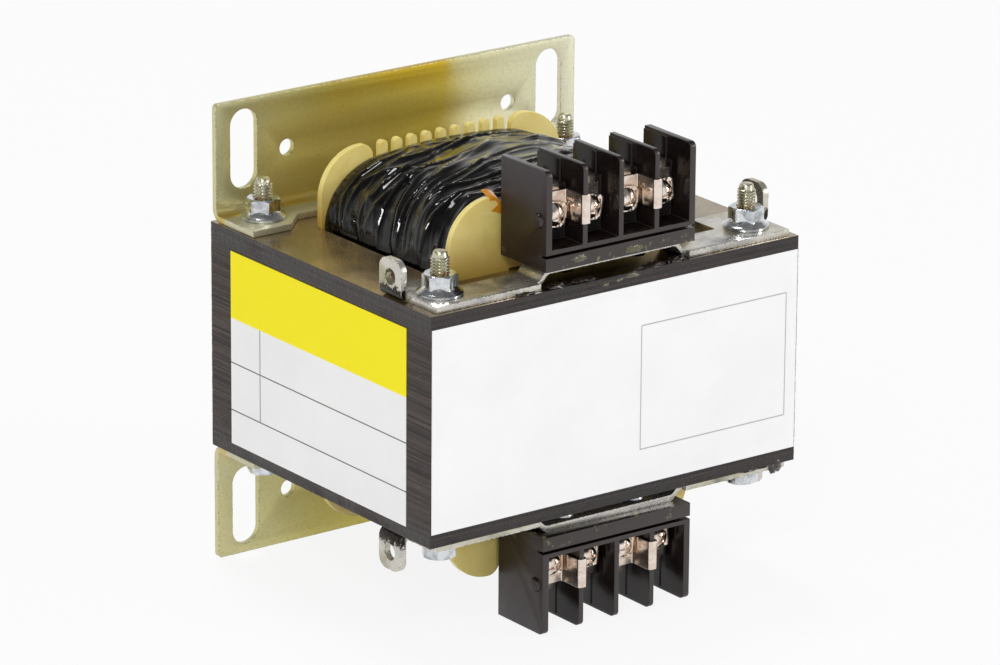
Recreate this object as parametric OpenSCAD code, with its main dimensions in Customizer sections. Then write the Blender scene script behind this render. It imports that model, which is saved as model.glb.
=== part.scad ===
// Laminated chassis transformer for a control panel.
// A stack of E and I laminations lies flat, with the coil round its centre leg, which runs
// along Y. Two L brackets at the back carry the mounting slots, two formed plates at the
// front carry the terminal blocks, and four long bolts clamp the whole stack.
//
// +X is to the right seen from the front, +Y points to the back (the panel it is fixed to)
// and +Z is up. The origin is on the mounting plane, at the centre of the mounting holes.

/* [Core] */
// Width of the centre leg of an E lamination
tongue_w = 38.1; // [32:0.1:50]
// Width of each winding window
window_w = 19.05; // [18:0.05:26]
// Length of the windows, along Y
window_l = 57.15; // [50:0.05:80]
// Width of the outer legs and of both yokes
leg_w = 19.05; // [17:0.05:26]
// Height of the lamination stack
stack_h = 60; // [50:1:80]
// Number of packets of laminations laid in turn
packets = 20; // [10:2:30]
// Gap at the butt joint between an E and an I
joint_gap = 0.06; // [0.02:0.01:0.2]

/* [Coil] */
// Clearance of the bobbin in the windows and round the centre leg
bobbin_clear = 0.4; // [0.2:0.1:0.8]
// Wall of the bobbin's tube
bobbin_wall = 1.4; // [1:0.1:2]
// Thickness of the bobbin's flanges
flange_t = 1.8; // [1.2:0.1:2.5]
// Height of the bobbin's flanges above the stack
flange_rise = 19.7; // [18:0.1:24]
// Radius of the outer corners of the flanges
lobe_r = 12.5; // [8:0.5:14]
// Radius of the inner corners of the lobes, next to the comb
lobe_tip_r = 3.8; // [2:0.1:5]
// Number of teeth in the comb between two lobes
comb_teeth = 9; // [5:2:11]
// Pitch of the comb
tooth_pitch = 4.59; // [4:0.01:5]
// Width of a tooth of the comb
tooth_w = 2.4; // [2:0.1:3.6]
// Height of the comb's slot floors above the stack
slot_floor = 10; // [8:0.5:12]
// Radial build of the primary winding
primary_build = 8; // [6:0.1:8.2]
// Radial build of the secondary winding
secondary_build = 7; // [5:0.1:7.2]
// Insulation between the windings
insulation_t = 0.5; // [0.3:0.1:0.8]
// Tape wrapped round the finished coil
wrap_t = 0.7; // [0.4:0.1:1]
// Gap between one layer of the coil and the next
layer_gap = 0.05; // [0.02:0.01:0.1]
// Gap between the coil and the bobbin's flanges
coil_end_gap = 0.3; // [0.1:0.1:0.6]

/* [Mounting brackets] */
// Thickness of the bracket sheet
bracket_t = 1.7; // [1.4:0.1:2.5]
// Inside radius of the bracket's bend
bend_r = 1.6; // [1:0.1:2.5]
// Distance from a bracket's side to the side of the core
bracket_inset = 0.55; // [0.2:0.05:2]
// Height of the bracket flange above the stack
bracket_rise = 30.75; // [29.5:0.25:40]
// Foot in front of the bolts, from their centre line
foot_margin = 8.7; // [7.5:0.1:9.2]
// Depth of the narrow neck of the foot, over the bobbin
neck_depth = 12.2; // [9:0.1:14]
// Clearance between the bobbin and the wide ends of the foot
neck_clear = 1.2; // [0.6:0.1:3]
// Radius of the flange's free corners
bracket_corner_r = 1.2; // [0.5:0.1:4]
// Distance of each mounting slot from the centre
slot_x = 48.1; // [44:0.1:50]
// Height of the slots' centre above the stack
slot_rise = 17.9; // [17:0.1:18.5]
// Length of a mounting slot
slot_l = 21; // [16:0.5:22]
// Width of a mounting slot
slot_w = 8.2; // [5:0.1:9]
// Distance of each small hole from the centre
hole_x = 34.9; // [30:0.1:38]
// Height of the small holes above the stack
hole_rise = 16; // [12:0.1:20]
// Diameter of the small holes
hole_d = 4.4; // [3:0.1:6]

/* [Terminal plates] */
// Thickness of the terminal plate sheet
plate_t = 1.7; // [1.4:0.1:2]
// Distance from the plate's front edge to the front of the core
plate_setback = 1.05; // [0.5:0.05:2]
// Distance from the plate's ends to the side of the core
plate_inset = 2.3; // [1.8:0.1:3]
// How far the plate reaches back past the front yoke
plate_reach = 2.6; // [1:0.1:4]
// Clearance between the bobbin and the plate's notch
notch_clear = 2; // [1:0.1:4]
// Width of the raised bridge that carries the terminal block
bridge_w = 9.3; // [8:0.1:10]
// Distance from the bridge's front edge to the plate's front edge
bridge_setback = 1.6; // [0.5:0.1:2.5]
// Length of the slope at each end of the bridge
joggle_run = 3.8; // [3:0.1:6]
// Rise of the upper plate's bridge
upper_joggle = 3.3; // [2.6:0.1:4]
// Rise of the lower plate's bridge
lower_joggle = 2.6; // [2.4:0.1:4]
// Width of an ear, along Y
ear_w = 9.2; // [7:0.1:10]
// Height of an ear above its plate
ear_h = 8.7; // [8:0.1:12]
// Inside radius of the ear's bend
ear_bend_r = 0.8; // [0.5:0.1:1]
// Radius of the ear's free corners
ear_corner_r = 3; // [1:0.1:3.4]
// Diameter of the hole in an ear
ear_hole_d = 4.3; // [3:0.1:4.6]
// Height of the ear hole above the plate
ear_hole_rise = 4.1; // [3.6:0.1:5]

/* [Terminal blocks] */
// Number of terminals in a block
ways = 4; // [2:2:6]
// Distance from one terminal to the next
way_pitch = 11.1; // [10.5:0.1:12]
// Thickness of the inner barriers
fin_t = 1.4; // [1:0.1:1.8]
// Thickness of the two end barriers
end_fin_t = 1.8; // [1.4:0.1:2.2]
// Extra thickness of the barriers' back half, on each side
fin_swell = 0.35; // [0.2:0.05:0.5]
// Depth of the barriers' thick back half
fin_swell_depth = 9.2; // [7:0.1:11]
// Height of a block above its bridge
block_h = 25.7; // [25:0.1:32]
// How far the block stands forward of the plate's front edge
block_overhang = 1.9; // [1:0.1:3]
// Gap between the block's back and the bobbin
block_gap = 1.45; // [1:0.05:2.5]
// Height of the base bar under the front groove
base_h = 3.5; // [3:0.1:3.8]
// Height of the front groove
groove_h = 0.8; // [0.5:0.1:1]
// Depth of the front groove
groove_depth = 2.6; // [1:0.1:4]
// Thickness of the bays' floor, above the groove
floor_t = 1.1; // [0.9:0.1:1.2]
// Distance from the barriers' front edge to the terminals' seat
seat_inset = 7.6; // [7:0.1:8.5]
// Radius of the barriers' free front corners
fin_corner_r = 1.5; // [0.5:0.1:3]
// Diameter of the round boss on each end barrier
boss_d = 2.9; // [2:0.1:4]
// Height of the round boss
boss_t = 0.9; // [0.5:0.1:1.5]
// Distance from the barriers' front edge to the boss
boss_inset = 2.9; // [2:0.1:5]
// Diameter of the recess in each boss
boss_bore_d = 1.7; // [1:0.1:2]
// Height of the upper terminal screws above the bridge
upper_screw_rise = 12.6; // [10:0.1:13]
// Height of the lower terminal screws above the bridge
lower_screw_rise = 9.5; // [9.4:0.1:13]

/* [Terminals] */
// Sheet of the terminal tabs
tab_t = 0.8; // [0.6:0.1:1]
// Width of a terminal tab
tab_w = 4.8; // [4:0.1:7.2]
// Height of the tab's top above its screw
tab_rise = 6.7; // [6.5:0.1:7]
// Thread diameter of the terminal screws
screw_d = 3.4; // [3:0.1:3.8]
// Length of a terminal screw below its head
screw_l = 9; // [6:0.5:10]
// Diameter of the terminal screw heads
screw_head_d = 5.9; // [5:0.1:6]
// Height of the terminal screw heads
screw_head_h = 2.2; // [1.8:0.1:3]
// Diameter of the cup washers under the terminal screws
washer_d = 7.5; // [7:0.1:8]
// Thickness of the cup washers
washer_t = 0.8; // [0.6:0.1:1]
// Height of the rim of a cup washer
washer_lip = 0.6; // [0.4:0.1:1]
// Clearance of the terminal screws in tabs and washers
screw_clear = 0.15; // [0.05:0.05:0.3]
// Sheet of the jumper links
link_t = 0.65; // [0.5:0.05:0.8]
// Inside radius of a jumper link's bends
link_bend = 0.35; // [0.2:0.05:0.6]
// Height of a jumper link
link_h = 7.5; // [6.5:0.1:8]
// Height of a jumper link's middle above the screws
link_rise = 1.9; // [1:0.1:2.4]
// How far a jumper link stands forward of the barrier
link_stand = 0.25; // [0.1:0.05:0.5]
// Clearance between a jumper link and the barrier it straddles
link_clear = 0.05; // [0.02:0.01:0.2]
// Diameter of the coil's leads
lead_d = 1.1; // [0.8:0.1:1.2]
// Clearance of a lead in its lug hole and beside the comb
lead_clear = 0.15; // [0.1:0.05:0.2]

/* [Fasteners] */
// Thread diameter of the clamping bolts
bolt_d = 4.8; // [4:0.1:6]
// Clearance round the bolts in the sheets
bolt_clear = 0.4; // [0.2:0.1:0.8]
// Bolt end above the upper sheets
bolt_end = 11.3; // [8:0.1:14]
// Size across the flats of nuts and bolt heads
hex_af = 8; // [7:0.1:10]
// Diameter of the flanges of nuts and bolt heads
hex_flange_d = 11.8; // [10:0.1:14]
// Height of a flange nut
nut_h = 5.4; // [4:0.1:6]
// Height of a bolt head
head_h = 4.7; // [4:0.1:6]
// Thread clearance between nut and bolt
thread_clear = 0.1; // [0.05:0.05:0.2]
// Diameter of the screws under the terminal blocks
block_screw_d = 3; // [2.5:0.1:3.5]
// Length of these screws in the block
block_screw_l = 4; // [3:0.1:5]
// Height of their heads
block_screw_head_h = 1.8; // [1.4:0.1:2.2]

/* [Labels] */
// Thickness of both labels
label_t = 0.15; // [0.1:0.05:0.3]
// Front label, distance from the sides of the core
front_label_side = 0.3; // [0.1:0.1:10]
// Front label, distance from the top and bottom of the stack
front_label_edge = 3.6; // [2:0.1:10]
// Side label, distance from the back of the core
side_label_back = 9; // [2:0.1:20]
// Side label, distance from the front of the core
side_label_front = 10.1; // [2:0.1:20]
// Side label, distance from the top of the stack
side_label_top = 5.6; // [2:0.1:10]
// Side label, distance from the bottom of the stack
side_label_bottom = 3; // [2:0.1:10]

/* [Hidden] */

// Segments of a full circle: small, middle and large
fn_s = 20;
fn_m = 32;
fn_l = 56;
// Overlap that lets two parts of one solid join
weld = 0.2;

core_w = tongue_w + 2 * window_w + 2 * leg_w;
core_d = window_l + 2 * leg_w;
core_top = stack_h / 2;
packet_h = stack_h / packets;
window_front = -(leg_w + window_l);
bolt_x = core_w / 2 - leg_w / 2;
bolt_ys = [-leg_w / 2, -core_d + leg_w / 2];
bolt_hole_d = bolt_d + 2 * bolt_clear;

tube_hx = tongue_w / 2 + bobbin_clear + bobbin_wall;
tube_hz = core_top + bobbin_clear + bobbin_wall;
tube_r = 2;
flange_hx = tongue_w / 2 + window_w - bobbin_clear;
flange_hz = core_top + flange_rise;
bobbin_back = -leg_w - bobbin_clear / 2;
bobbin_front = window_front + bobbin_clear / 2;
coil_back = bobbin_back - flange_t - coil_end_gap;
coil_front = bobbin_front + flange_t + coil_end_gap;
// Radial start and end of each layer of the coil, from the bobbin's tube
primary_in = layer_gap;
primary_out = primary_in + primary_build;
insulation_in = primary_out + layer_gap;
insulation_out = insulation_in + insulation_t;
secondary_in = insulation_out + layer_gap;
secondary_out = secondary_in + secondary_build;
wrap_in = secondary_out + layer_gap;
wrap_out = wrap_in + wrap_t;
comb_hx = (comb_teeth - 1) / 2 * tooth_pitch + tooth_w / 2;
comb_gap = tooth_pitch - tooth_w;
lobe_in = comb_hx + comb_gap;
tip_r = min(lobe_tip_r, flange_hx - lobe_r - lobe_in - 0.02);
tooth_r = tooth_w / 2 - 0.05;

bracket_hx = core_w / 2 - bracket_inset;
foot_depth = leg_w / 2 + foot_margin;
foot_in = flange_hx + neck_clear;

plate_front = -core_d + plate_setback;
plate_back = window_front + plate_reach;
plate_hx = core_w / 2 - plate_inset;
plate_top = core_top + plate_t;
notch_hx = flange_hx + notch_clear;
bridge_front = plate_front + bridge_setback;
bridge_back = bridge_front + bridge_w;
ear_out = core_w / 2;

block_hx = ways / 2 * way_pitch + end_fin_t / 2;
block_front = plate_front - block_overhang;
block_back = bobbin_front - block_gap;
floor_top = base_h + groove_h + floor_t;
seat_y = block_front + seat_inset;
way_xs = [for (i = [0 : ways - 1]) (i - (ways - 1) / 2) * way_pitch];
link_xs = [for (i = [0 : 2 : ways - 2]) (way_xs[i] + way_xs[i + 1]) / 2];
block_screw_x = ceil(ways / 4) * way_pitch;
block_screw_y = (bridge_front + bridge_back) / 2;
link_y = seat_y - tab_t;
washer_y = link_y - link_t;
head_y = washer_y - washer_t;
link_leg_in = fin_t / 2 + link_clear;
link_leg_out = link_leg_in + link_t;
link_reach = way_pitch / 2 + screw_d / 2 + screw_clear + 1.2;
lead_y = bobbin_front + flange_t / 2;
// Each lead rises in the comb slot that lies nearest to its terminal
lead_xs = [for (x = way_xs) sign(x) * (floor(abs(x) / tooth_pitch) + 0.5) * tooth_pitch];
lead_start = slot_floor + 2;

// ---- plane shapes ----

// Rectangle with round corners, centred
module round_rect(w, h, r, fn = fn_m) {
    square([w - 2 * r, h], center = true);
    square([w, h - 2 * r], center = true);
    for (x = [-1, 1], y = [-1, 1])
        translate([x * (w / 2 - r), y * (h / 2 - r)]) circle(r = r, $fn = fn);
}

// Slot with round ends, upright and centred
module slot(w, l) {
    square([w, l - w], center = true);
    for (y = [-1, 1]) translate([0, y * (l - w) / 2]) circle(d = w, $fn = fn_m);
}

// Sheet bent through a right angle: along +X at the bottom, up +Y at the left.
// The outside faces lie on the axes.
module bent_sheet(foot, rise, t, r) {
    translate([r + t, 0]) square([foot - r - t, t]);
    translate([0, r + t]) square([t, rise - r - t]);
    translate([r + t, r + t]) intersection() {
        difference() {
            circle(r = r + t, $fn = fn_m);
            circle(r = r, $fn = fn_m);
        }
        translate([-r - t, -r - t]) square(r + t);
    }
}

// Extrudes a shape of the XZ plane from y0 back to y1
module along_y(y0, y1) {
    translate([0, y1, 0]) rotate([90, 0, 0]) linear_extrude(y1 - y0) children();
}

// Extrudes a shape of the YZ plane from x0 to x1
module along_x(x0, x1) {
    translate([x0, 0, 0]) rotate([90, 0, 90]) linear_extrude(x1 - x0) children();
}

// ---- core ----

module limbs_outline() {
    length = window_l - 2 * joint_gap;
    translate([0, -core_d / 2]) square([tongue_w, length], center = true);
    for (x = [-1, 1]) translate([x * (core_w - leg_w) / 2, -core_d / 2])
        square([leg_w, length], center = true);
}

// Yoke of an E lamination, with short stubs that join it to the limbs
module yoke_outline() {
    reach = leg_w + joint_gap + weld;
    difference() {
        translate([-core_w / 2, -reach]) square([core_w, reach]);
        for (x = [-1, 1]) translate([x * (tongue_w + window_w) / 2, -leg_w - window_w / 2])
            square(window_w, center = true);
        for (x = [-1, 1]) translate([x * bolt_x, bolt_ys[0]]) circle(d = bolt_hole_d, $fn = fn_s);
    }
}

module i_outline() {
    difference() {
        translate([-core_w / 2, -core_d]) square([core_w, leg_w]);
        for (x = [-1, 1]) translate([x * bolt_x, bolt_ys[1]]) circle(d = bolt_hole_d, $fn = fn_s);
    }
}

// One packet of the stack; every other packet is turned end for end
module packet(i) {
    translate([0, 0, -core_top + i * packet_h]) linear_extrude(packet_h)
        if (i % 2 == 0) children();
        else translate([0, -core_d]) mirror([0, 1]) children();
}

module e_laminations() {
    color("#4a3c36") {
        translate([0, 0, -core_top]) linear_extrude(stack_h) limbs_outline();
        for (i = [0 : packets - 1]) packet(i) yoke_outline();
    }
}

module i_laminations() {
    color("#55453e") for (i = [0 : packets - 1]) packet(i) i_outline();
}

// ---- coil ----

// Points of an arc from angle a0 to a1, round the centre c
function arc(c, r, a0, a1, n) =
    [for (i = [0 : n]) let (a = a0 + (a1 - a0) * i / n) c + r * [cos(a), sin(a)]];

// Outline of a flange's upper half, from its left side to its right: a lobe, whose outside
// corner is larger than its tip, then the comb, then the other lobe
function lobe_points() = concat(
    arc([lobe_r - flange_hx, flange_hz - lobe_r], lobe_r, 180, 90, 12),
    arc([-lobe_in - tip_r, flange_hz - tip_r], tip_r, 90, 0, 6),
    [[-lobe_in, core_top + slot_floor]]
);
function tooth_points(x) = concat(
    [[x - tooth_w / 2, core_top + slot_floor]],
    arc([x - tooth_w / 2 + tooth_r, flange_hz - tooth_r], tooth_r, 180, 90, 3),
    arc([x + tooth_w / 2 - tooth_r, flange_hz - tooth_r], tooth_r, 90, 0, 3),
    [[x + tooth_w / 2, core_top + slot_floor]]
);
function reversed(points) = [for (i = [len(points) - 1 : -1 : 0]) points[i]];

module flange_outline() {
    lobe = lobe_points();
    comb = [
        for (i = [0 : comb_teeth - 1]) each tooth_points((i - (comb_teeth - 1) / 2) * tooth_pitch)
    ];
    half = concat(lobe, comb, [for (p = reversed(lobe)) [-p[0], p[1]]]);
    polygon(concat(half, [for (p = half) -p]));
}

// Rectangle whose corners are cut to short flats that follow a radius
module soft_rect(w, h, r, n) {
    corner = arc([w / 2 - r, h / 2 - r], r, 90, 0, n);
    half = concat([for (p = reversed(corner)) [-p[0], p[1]]], corner);
    polygon(concat(half, [for (p = half) -p]));
}

module bobbin() {
    color("#e3cf94") difference() {
        union() {
            for (y = [bobbin_back - flange_t, bobbin_front]) along_y(y, y + flange_t)
                flange_outline();
            along_y(bobbin_front + weld, bobbin_back - weld)
                soft_rect(2 * tube_hx, 2 * tube_hz, tube_r, 4);
        }
        along_y(bobbin_front - 1, bobbin_back + 1)
            square([2 * (tube_hx - bobbin_wall), 2 * (tube_hz - bobbin_wall)], center = true);
    }
}

// One layer of the coil, from a to b outside the bobbin's tube
module coil_layer(a, b) {
    along_y(coil_front, coil_back) difference() {
        round_rect(2 * (tube_hx + b), 2 * (tube_hz + b), tube_r + b, fn_l);
        round_rect(2 * (tube_hx + a), 2 * (tube_hz + a), tube_r + a, fn_l);
    }
}

module primary_winding() {
    color("#b5651d") coil_layer(primary_in, primary_out);
}

module interwinding_insulation() {
    color("#d8c9a0") coil_layer(insulation_in, insulation_out);
}

module secondary_winding() {
    color("#a4551a") coil_layer(secondary_in, secondary_out);
}

module coil_wrap() {
    color("#141210") coil_layer(wrap_in, wrap_out);
}

// Enamelled leads: out of the coil, through a slot of the comb and up to a terminal lug
module coil_leads(seat, screw_rise) {
    top = seat + screw_rise + tab_rise + tab_t + 1;
    z = core_top + lead_start;
    color("#9c4a1c") for (x = lead_xs) {
        translate([x, lead_y, z]) cylinder(d = lead_d, h = top - z, $fn = fn_s);
        translate([x, coil_front, z]) rotate([90, 0, 0])
            cylinder(d = lead_d, h = coil_front - lead_y, $fn = fn_s);
        translate([x, lead_y, z]) sphere(d = lead_d, $fn = fn_s);
    }
}

module polyimide_tape() {
    w = 4;
    h = 4.5;
    t = 0.15;
    color("#e08a1e") translate([-lobe_in - tip_r, bobbin_front - t, flange_hz - tip_r])
        translate([0, 0, -h / 2]) cube([w / 2, t, h]);
}

// ---- brackets and plates ----

module foot_outline() {
    step = foot_depth - neck_depth;
    polygon([
        [-bracket_hx, 0], [-bracket_hx, -foot_depth], [-foot_in - step, -foot_depth],
        [-foot_in, -neck_depth], [foot_in, -neck_depth], [foot_in + step, -foot_depth],
        [bracket_hx, -foot_depth], [bracket_hx, 0]
    ]);
}

module mounting_bracket() {
    top = core_top + bracket_rise;
    color("#b7a86a") difference() {
        intersection() {
            along_x(-bracket_hx, bracket_hx) translate([0, core_top]) mirror([1, 0])
                bent_sheet(foot_depth, bracket_rise, bracket_t, bend_r);
            union() {
                translate([0, 0, core_top]) linear_extrude(bracket_t + bend_r + weld)
                    foot_outline();
                along_y(-bracket_t - weld, 0) translate([0, core_top + bracket_rise / 2]) {
                    round_rect(2 * bracket_hx, bracket_rise, bracket_corner_r);
                    translate([-bracket_hx, -bracket_rise / 2])
                        square([2 * bracket_hx, bracket_rise / 2]);
                }
            }
        }
        for (x = [-1, 1]) {
            along_y(-2 * bracket_t, bracket_t) translate([x * slot_x, core_top + slot_rise])
                slot(slot_w, slot_l);
            along_y(-2 * bracket_t, bracket_t) translate([x * hole_x, core_top + hole_rise])
                circle(d = hole_d, $fn = fn_m);
            translate([x * bolt_x, bolt_ys[0], core_top - weld])
                cylinder(d = bolt_hole_d, h = bracket_t + 2 * weld, $fn = fn_m);
        }
    }
}

// Long section of the bridge: flat ends, smooth slopes and the raised middle
module bridge_outline(rise) {
    steps = 8;
    slope = [for (i = [0 : steps]) [
        -block_hx + joggle_run * i / steps, rise * (1 - cos(180 * i / steps)) / 2
    ]];
    left = concat([[-block_hx - weld, 0]], slope);
    right = [for (i = [len(left) - 1 : -1 : 0]) [-left[i][0], left[i][1]]];
    lower = concat(left, right);
    upper = [for (i = [len(lower) - 1 : -1 : 0]) lower[i] + [0, plate_t]];
    translate([0, core_top]) polygon(concat(lower, upper));
}

module ear() {
    ear_root = 2;
    height = plate_t + ear_h;
    difference() {
        intersection() {
            along_y(plate_back - ear_w, plate_back) translate([ear_out, core_top]) mirror([1, 0])
                bent_sheet(ear_out - plate_hx + ear_root, height, plate_t, ear_bend_r);
            along_x(plate_hx - ear_root, ear_out + weld)
                translate([plate_back - ear_w / 2, core_top + height / 2]) {
                    round_rect(ear_w, height, ear_corner_r);
                    translate([-ear_w / 2, -height / 2]) square([ear_w, height / 2]);
                }
        }
        translate([ear_out - plate_t - weld, plate_back - ear_w / 2, plate_top + ear_hole_rise])
            rotate([0, 90, 0]) cylinder(d = ear_hole_d, h = plate_t + 2 * weld, $fn = fn_m);
    }
}

module terminal_plate(rise) {
    color("#a9a79b") difference() {
        union() {
            for (x = [0, 1]) mirror([x, 0, 0]) {
                translate([notch_hx, plate_front, core_top])
                    cube([plate_hx - notch_hx, plate_back - plate_front, plate_t]);
                translate([block_hx, plate_front, core_top])
                    cube([notch_hx - block_hx + weld, bridge_back - plate_front, plate_t]);
                ear();
            }
            along_y(bridge_front, bridge_back) bridge_outline(rise);
        }
        for (x = [-1, 1]) {
            translate([x * bolt_x, bolt_ys[1], core_top - weld])
                cylinder(d = bolt_hole_d, h = plate_t + 2 * weld, $fn = fn_m);
            translate([x * block_screw_x, block_screw_y, core_top])
                cylinder(d = block_screw_d + 2 * screw_clear, h = rise + 2 * plate_t, $fn = fn_s);
        }
    }
}

// ---- terminal blocks ----

// Side view of a barrier: square at the back, round at its free front corner
module fin_outline(depth) {
    r = fin_corner_r;
    translate([block_back - depth, 0]) {
        square([depth, block_h - r]);
        translate([r, 0]) square([depth - r, block_h]);
        translate([r, block_h - r]) circle(r = r, $fn = fn_s);
    }
}

module terminal_block(seat, screw_rise) {
    depth = block_back - block_front;
    seat_top = screw_rise + tab_rise;
    color("#2b2320") translate([0, 0, seat]) difference() {
        union() {
            translate([-block_hx, block_front, 0]) cube([2 * block_hx, depth, floor_top]);
            translate([-block_hx, seat_y, 0])
                cube([2 * block_hx, block_back - seat_y, seat_top]);
            for (i = [0 : ways]) {
                x = (i - ways / 2) * way_pitch;
                t = (i == 0 || i == ways) ? end_fin_t : fin_t;
                along_x(x - t / 2, x + t / 2) fin_outline(depth);
                swell_in = i == 0 ? 0 : fin_swell;
                swell_out = i == ways ? 0 : fin_swell;
                along_x(x - t / 2 - swell_in, x + t / 2 + swell_out)
                    translate([block_back - fin_swell_depth, 0])
                        square([fin_swell_depth, block_h - 2 * fin_swell]);
            }
            for (x = [-1, 1])
                translate([x * (block_hx + boss_t / 2), block_front + boss_inset, block_h / 2])
                    rotate([0, 90, 0]) cylinder(d = boss_d, h = boss_t + weld, center = true,
                        $fn = fn_s);
        }
        for (x = [-1, 1])
            translate([x * (block_hx + boss_t / 2), block_front + boss_inset, block_h / 2])
                rotate([0, 90, 0]) cylinder(d = boss_bore_d, h = boss_t, center = true, $fn = fn_s);
        translate([-block_hx - 1, block_front - 1, base_h])
            cube([2 * block_hx + 2, groove_depth + 1, groove_h]);
        for (x = way_xs) translate([x, seat_y + screw_l, screw_rise]) rotate([90, 0, 0])
            cylinder(d = screw_d + 2 * thread_clear, h = screw_l + 1, $fn = fn_s);
        for (x = [-1, 1]) translate([x * block_screw_x, block_screw_y, -1])
            cylinder(d = block_screw_d + 2 * thread_clear, h = block_screw_l + 1.5, $fn = fn_s);
    }
}

// Tab on each terminal's seat, bent back over it to a lug behind the block
module terminal_tabs(seat, screw_rise) {
    foot = washer_d / 2;
    lug_w = 3.6;
    lug_root = 3;
    lug_back = lead_y + lead_d / 2 + 1.2;
    top = seat + screw_rise + tab_rise;
    color("#c9c4ae") for (i = [0 : ways - 1]) {
        x = way_xs[i];
        difference() {
            union() {
                translate([x - tab_w / 2, seat_y - tab_t, seat + screw_rise - foot])
                    cube([tab_w, tab_t, tab_rise + foot + tab_t]);
                translate([x - tab_w / 2, seat_y - tab_t, top])
                    cube([tab_w, block_back - seat_y + tab_t - 0.5, tab_t]);
                translate([lead_xs[i] - lug_w / 2, block_back - lug_root, top])
                    cube([lug_w, lug_back - block_back + lug_root, tab_t]);
            }
            translate([x, seat_y + 1, seat + screw_rise]) rotate([90, 0, 0])
                cylinder(d = screw_d + 2 * screw_clear, h = tab_t + 2, $fn = fn_s);
            translate([lead_xs[i], lead_y, top - 1])
                cylinder(d = lead_d + 2 * lead_clear, h = tab_t + 2, $fn = fn_s);
        }
    }
}

module terminal_screws(seat, screw_rise) {
    dome = screw_head_h / 2;
    slot_t = 1;
    color("#cfcbc0") for (x = way_xs)
        translate([x, head_y, seat + screw_rise]) rotate([90, 0, 0]) difference() {
            union() {
                translate([0, 0, -screw_l]) cylinder(d = screw_d, h = screw_l, $fn = fn_s);
                cylinder(d = screw_head_d, h = dome, $fn = fn_m);
                translate([0, 0, dome])
                    cylinder(d1 = screw_head_d, d2 = 0.68 * screw_head_d, h = dome, $fn = fn_m);
            }
            for (a = [45, 135]) rotate([0, 0, a])
                translate([0, 0, screw_head_h]) cube([0.6 * screw_head_d, slot_t, dome * 2],
                    center = true);
        }
}

// Cup washer, open towards the front
module clamp_washers(seat, screw_rise) {
    color("#bdb9ab") for (x = way_xs)
        translate([x, washer_y, seat + screw_rise]) rotate([90, 0, 0]) difference() {
            cylinder(d = washer_d, h = washer_t + washer_lip, $fn = fn_m);
            translate([0, 0, -1])
                cylinder(d = screw_d + 2 * screw_clear, h = washer_t + 2, $fn = fn_s);
            translate([0, 0, washer_t])
                cylinder(d = screw_head_d + 2 * screw_clear, h = washer_lip + 1, $fn = fn_m);
        }
}

// Half of a jumper link: half of its web, one leg and the foot that the screw clamps
module link_half(middle) {
    web_y = block_front - link_stand - link_t;
    front = [link_leg_in - link_bend, web_y + link_t + link_bend];
    back = [link_leg_out + link_bend, link_y - link_t - link_bend];
    translate([0, 0, middle - link_h / 2]) linear_extrude(link_h) polygon(concat(
        [[0, web_y]], arc(front, link_bend + link_t, -90, 0, 4), arc(back, link_bend, 180, 90, 3),
        [[link_reach, link_y - link_t], [link_reach, link_y]],
        arc(back, link_bend + link_t, 90, 180, 4), arc(front, link_bend, 0, -90, 3),
        [[0, web_y + link_t]]
    ));
}

// Links join the terminals in pairs; their forks open towards the bridge
module jumper_links(seat, screw_rise) {
    screw_z = seat + screw_rise;
    fork = screw_d + 2 * screw_clear;
    color("#d6d1c4") for (x = link_xs) translate([x, 0, 0]) for (m = [0, 1]) mirror([m, 0, 0])
        difference() {
            link_half(screw_z + link_rise);
            translate([way_pitch / 2, link_y + 1, screw_z]) rotate([90, 0, 0])
                cylinder(d = fork, h = link_t + 2, $fn = fn_s);
            translate([way_pitch / 2 - fork / 2, link_y - link_t - 1, screw_z - link_h])
                cube([fork, link_t + 2, link_h]);
        }
}

// ---- fasteners ----

// Hexagon with its free end turned to a chamfer
module hex_body(h) {
    corner = hex_af / 2 / cos(30);
    chamfer = 0.45;
    intersection() {
        cylinder(r = corner, h = h, $fn = 6);
        union() {
            cylinder(r = corner + 0.1, h = h - chamfer, $fn = fn_m);
            translate([0, 0, h - chamfer])
                cylinder(r1 = corner + 0.1, r2 = hex_af / 2, h = chamfer, $fn = fn_m);
        }
    }
}

// Flange under a hexagon: a thin rim and a slope up to the flats
module hex_flange() {
    rim = 0.9;
    cylinder(d = hex_flange_d, h = rim, $fn = fn_m);
    translate([0, 0, rim])
        cylinder(d1 = hex_flange_d - 0.6, d2 = hex_af + 0.4, h = rim, $fn = fn_m);
}

module flange_nuts() {
    color("#c8cacb") for (x = [-1, 1], y = bolt_ys)
        translate([x * bolt_x, y, y > -leg_w ? core_top + bracket_t : plate_top]) difference() {
            union() {
                hex_flange();
                hex_body(nut_h);
            }
            translate([0, 0, -1])
                cylinder(d = bolt_d + 2 * thread_clear, h = nut_h + 2, $fn = fn_m);
        }
}

module clamp_bolts() {
    point = 0.9;
    color("#b9b27c") for (x = [-1, 1], y = bolt_ys) {
        sheet = y > -leg_w ? bracket_t : plate_t;
        translate([x * bolt_x, y, -core_top - sheet]) {
            mirror([0, 0, 1]) {
                hex_flange();
                hex_body(head_h);
            }
            cylinder(d = bolt_d, h = stack_h + 2 * sheet + bolt_end - point, $fn = fn_m);
            translate([0, 0, stack_h + 2 * sheet + bolt_end - point])
                cylinder(d1 = bolt_d, d2 = bolt_d - point, h = point, $fn = fn_m);
        }
    }
}

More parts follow.
